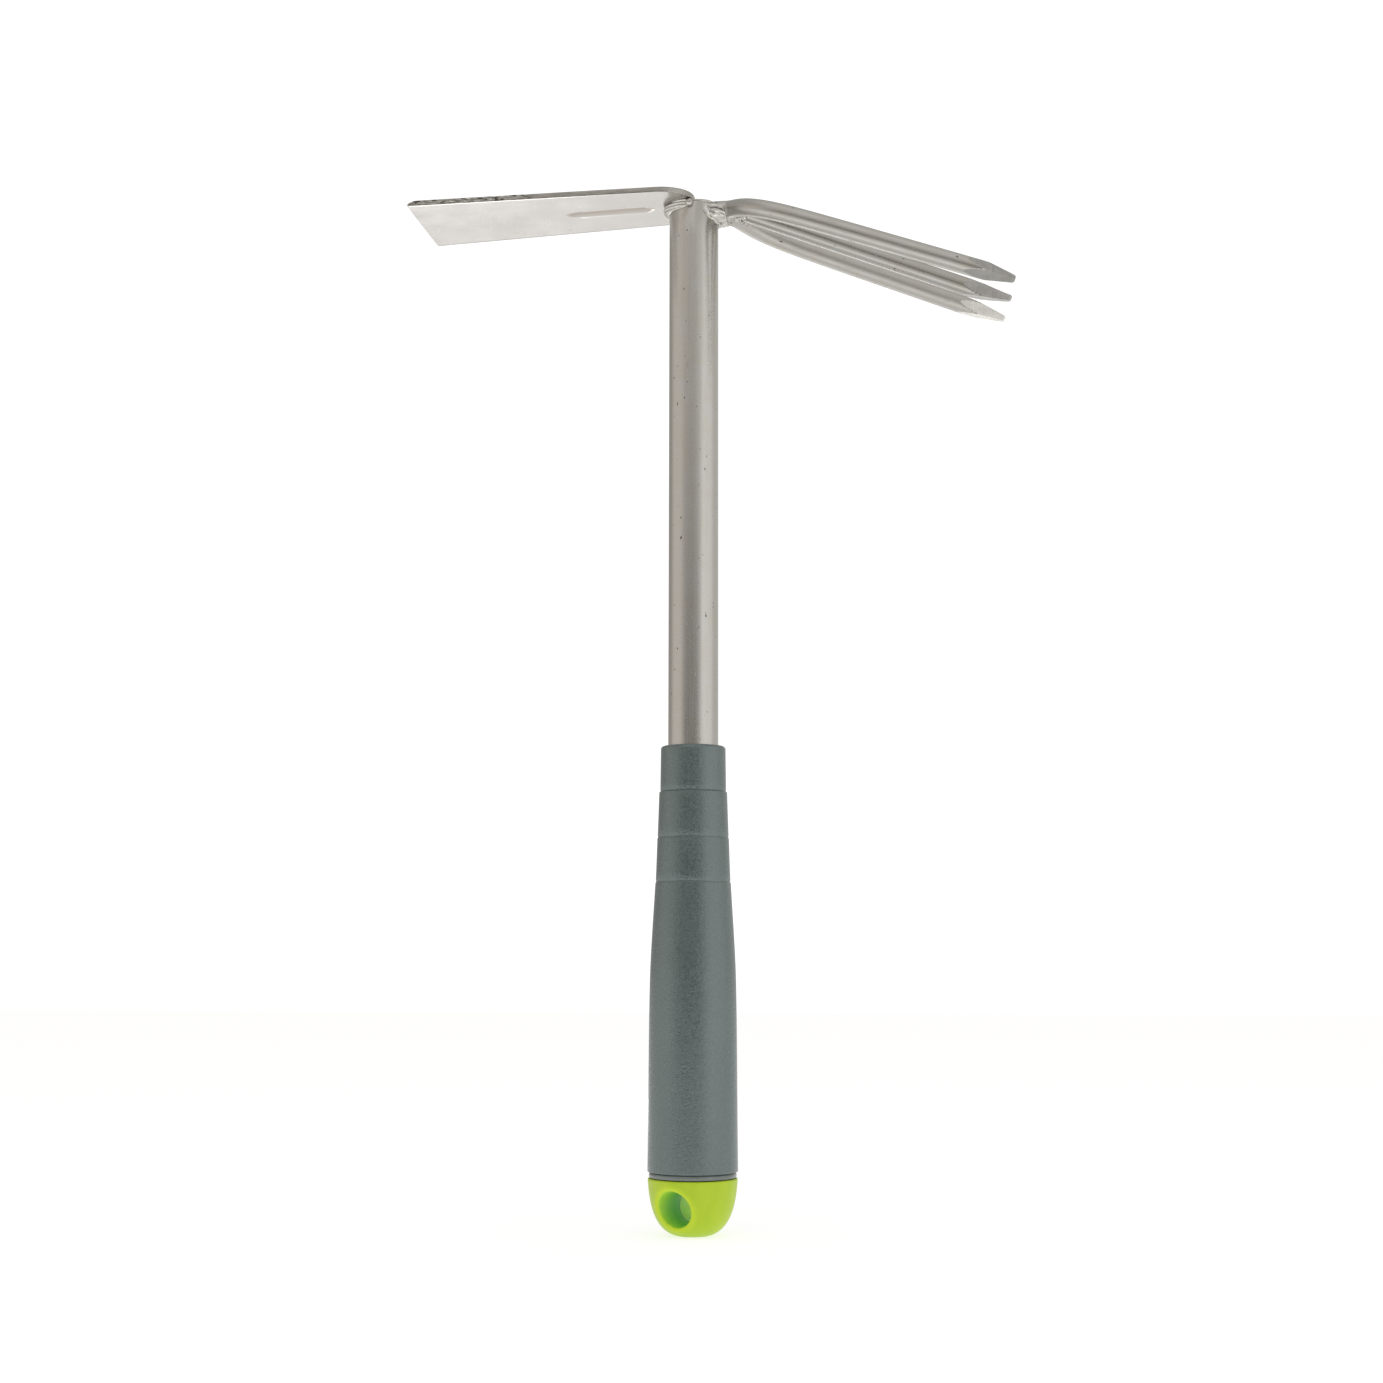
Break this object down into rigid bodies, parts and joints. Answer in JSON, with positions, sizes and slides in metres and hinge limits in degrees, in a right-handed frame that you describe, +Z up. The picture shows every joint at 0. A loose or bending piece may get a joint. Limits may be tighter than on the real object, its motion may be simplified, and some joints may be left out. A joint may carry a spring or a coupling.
{
  "type": "hand cultivator",
  "caption": "Hand cultivator with a flat hoe blade and a round-rod fork welded back to back on a steel tube, a soft stepped grip and a domed end cap with a hanging hole.",
  "frame": {"origin": "centre of the small flat under the end cap, on the shaft's axis", "axes": "+Z up the shaft towards the head, -X out to the hoe blade's cutting edge, +X out to the fork"},
  "size_m": [0.2309, 0.0574, 0.3952],
  "materials": {
    "satin_steel": "satin, tumbled",
    "polished_steel": "polished",
    "weld_metal": "bright weld bead",
    "soft_grip": "fine matt texture",
    "hard_core": "smooth, half gloss",
    "lime_cap": "smooth moulded"
  },
  "bodies": {
    "root": {"shaft_tube": "satin_steel", "hoe_blade": "polished_steel", "tine_front": "satin_steel", "tine_middle": "satin_steel", "tine_back": "satin_steel", "blade_weld": "weld_metal", "tine_weld": "weld_metal", "crotch_weld": "weld_metal", "top_weld": "weld_metal", "grip_sleeve": "soft_grip", "handle_core": "hard_core", "end_cap": "lime_cap"}
  },
  "joints": []
}
